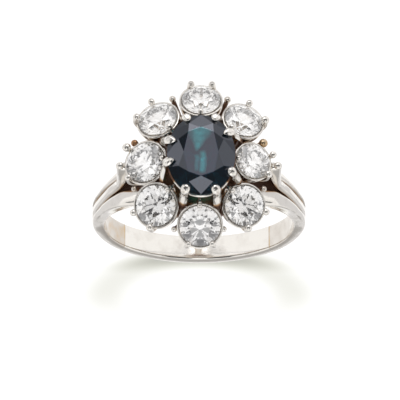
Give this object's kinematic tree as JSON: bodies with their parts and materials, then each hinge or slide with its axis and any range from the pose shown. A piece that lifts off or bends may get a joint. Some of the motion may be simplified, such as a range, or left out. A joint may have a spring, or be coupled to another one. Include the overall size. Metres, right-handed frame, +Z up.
{
  "type": "cluster ring",
  "caption": "Ring with a raised oval cluster: an oval dark blue stone in claws inside a border of round clear stones in tapered cups, on a band with split three-strand shoulders.",
  "frame": {"origin": "centre of the bounding box on the surface that the ring lies on", "axes": "+Z up; the ring lies on the back of its head and its band, so the finger hole runs about 16 degrees off Z, the band is towards +Y, the head towards -Y, and the width of the ring is along X"},
  "size_m": [0.0192, 0.027, 0.0148],
  "materials": {
    "white_metal": "polished white gold",
    "blue_stone": "polished cut stone",
    "clear_stone": "polished cut stone"
  },
  "bodies": {
    "root": {"mount": "white_metal", "sapphire": "blue_stone", "diamond_1": "clear_stone", "diamond_2": "clear_stone", "diamond_3": "clear_stone", "diamond_4": "clear_stone", "diamond_5": "clear_stone", "diamond_6": "clear_stone", "diamond_7": "clear_stone", "diamond_8": "clear_stone"}
  },
  "joints": []
}
